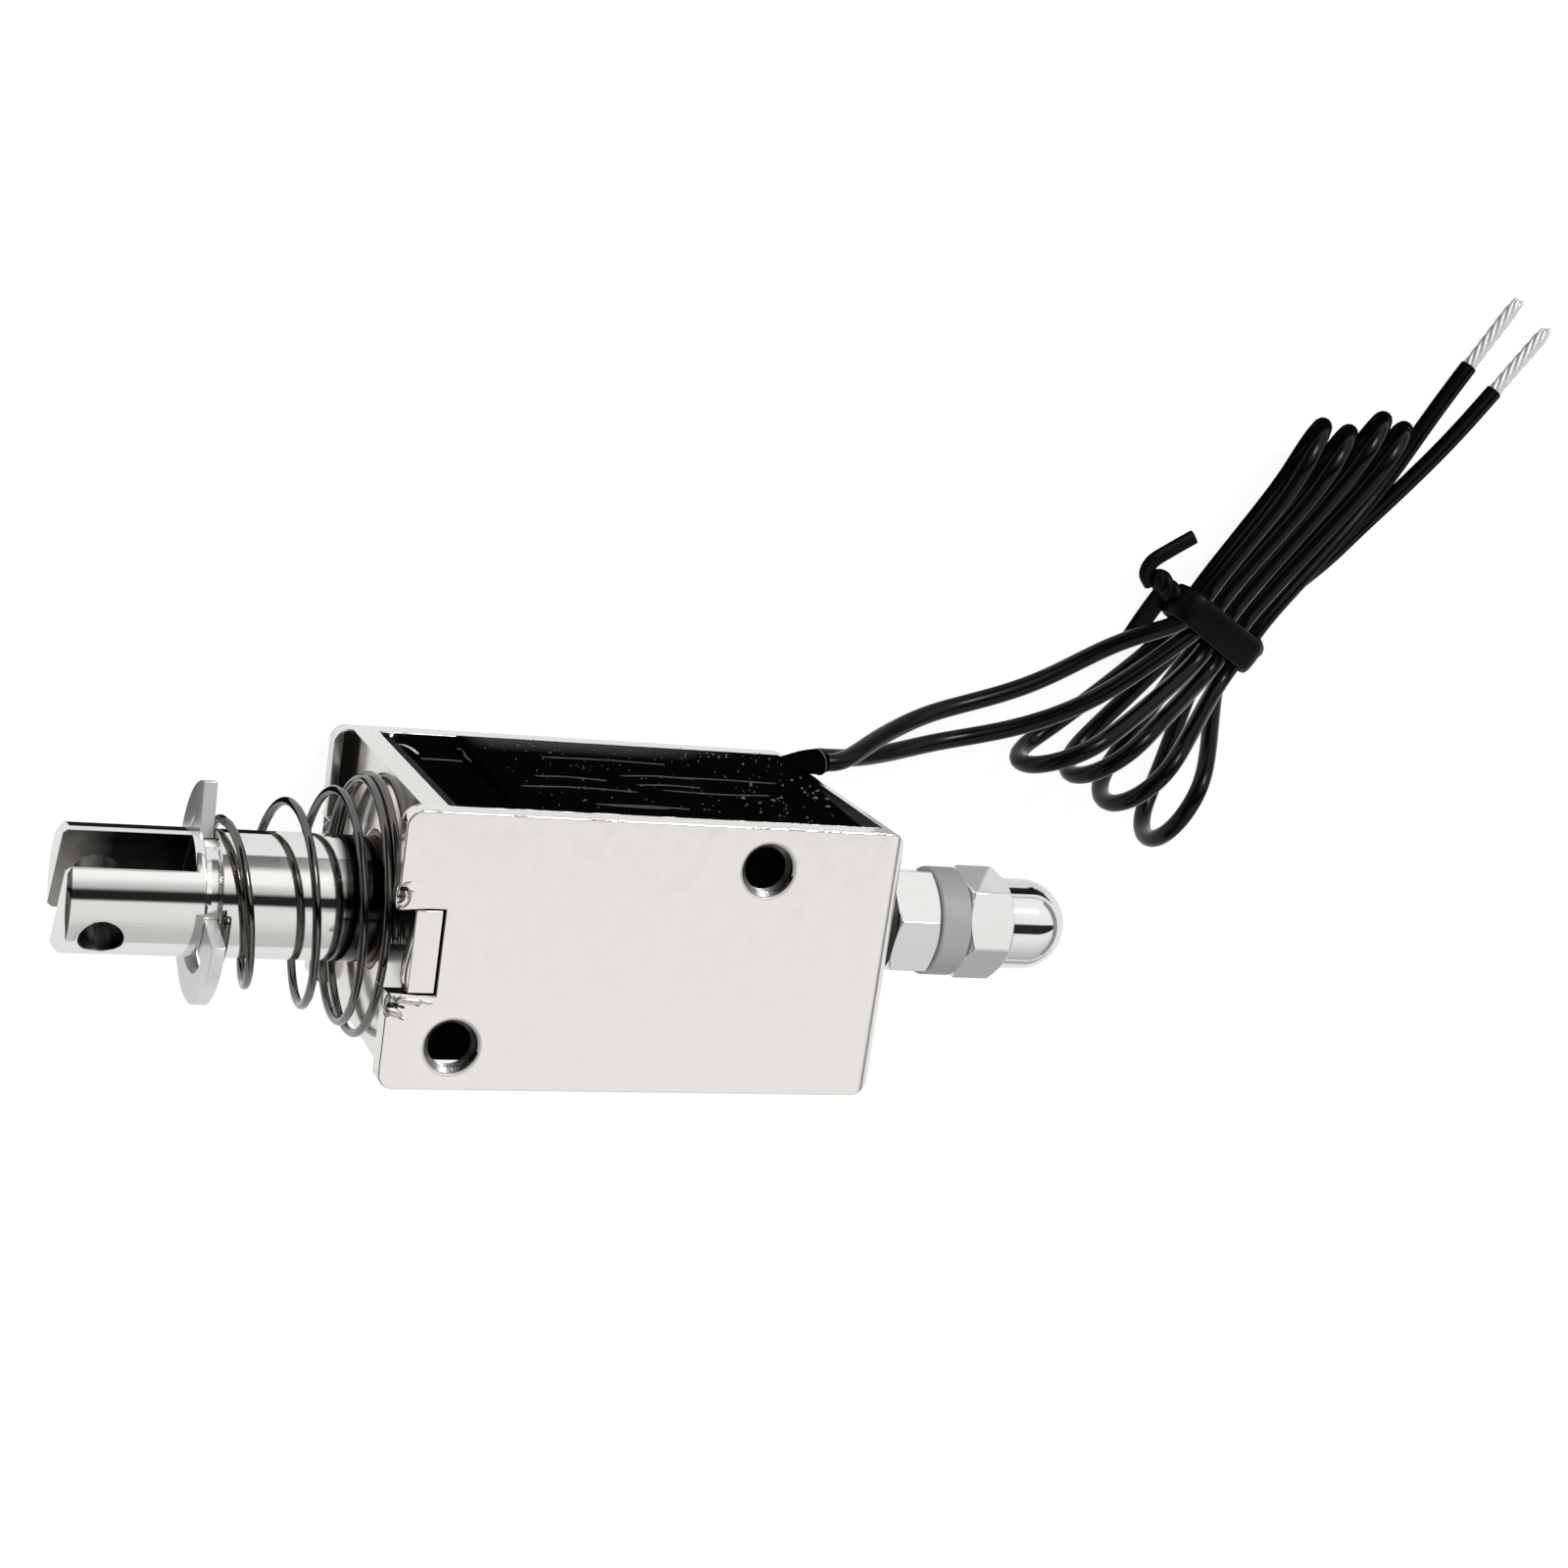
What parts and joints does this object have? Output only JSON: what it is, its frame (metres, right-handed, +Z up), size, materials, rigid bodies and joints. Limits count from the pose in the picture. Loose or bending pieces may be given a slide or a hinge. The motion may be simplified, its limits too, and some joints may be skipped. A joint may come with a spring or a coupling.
{
  "type": "push pull solenoid",
  "caption": "Open-frame push pull solenoid: a sprung clevis plunger slides in a tape-wrapped coil held by a bent steel frame, and a push rod ends in an acorn nut.",
  "frame": {"origin": "centre of the lower side plate's outer face, on which the part lies", "axes": "+X along the plunger, from the clevis to the acorn nut; +Y out of the open side that the leads leave; +Z up, to the side plate with the tapped holes"},
  "size_m": [0.1269, 0.066, 0.026],
  "materials": {
    "nickel_plate": "bright nickel plated sheet steel",
    "brass_tube": "drawn brass",
    "core_steel": "turned soft steel, nickel plated",
    "bright_nut": "bright nickel plated steel",
    "black_rubber": "matt rubber",
    "bobbin_nylon": "moulded nylon",
    "copper_wire": "enamelled copper wire",
    "black_tape": "glossy wrapped insulating tape",
    "black_sleeve": "shrink sleeve",
    "spring_steel": "bright drawn spring wire",
    "clip_steel": "stamped and plated spring steel",
    "plunger_steel": "turned and nickel plated steel",
    "rod_steel": "turned stainless steel",
    "grey_nylon": "moulded grey nylon",
    "lead_insulation": "glossy black wire insulation",
    "tinned_strands": "twisted tinned copper strands",
    "tie_plastic": "black plastic covered twist tie"
  },
  "bodies": {
    "frame": {"yoke_frame": "nickel_plate", "front_plate": "nickel_plate", "guide_tube": "brass_tube", "fixed_core": "core_steel", "core_nut": "bright_nut", "stop_washer": "black_rubber", "bobbin": "bobbin_nylon", "coil_winding": "copper_wire", "coil_tape": "black_tape", "splice_a": "black_sleeve", "splice_b": "black_sleeve", "exit_sleeve": "black_tape", "return_spring": "spring_steel", "lead_a": "lead_insulation", "lead_b": "lead_insulation", "lead_hank": "lead_insulation", "lead_tail_a": "lead_insulation", "lead_tail_b": "lead_insulation", "bare_end_a": "tinned_strands", "bare_end_b": "tinned_strands", "twist_tie": "tie_plastic"},
    "clip": {"e_clip": "clip_steel"},
    "plunger_set": {"plunger": "plunger_steel", "push_rod": "rod_steel", "rod_nut": "bright_nut", "cushion_washer": "grey_nylon", "acorn_nut": "bright_nut"}
  },
  "joints": [
    {"name": "plunger_slide", "type": "slide", "parent": "frame", "child": "clip", "axis": [1, 0, 0], "range_m": [0, 0.0095], "stiffness_N_per_m": 250, "springref_m": -0.004, "deforming": ["return_spring"]},
    {"name": "plunger_turn", "type": "hinge", "parent": "clip", "child": "plunger_set", "pos_m": [0, 0, 0.013], "axis": [1, 0, 0], "continuous": true}
  ]
}
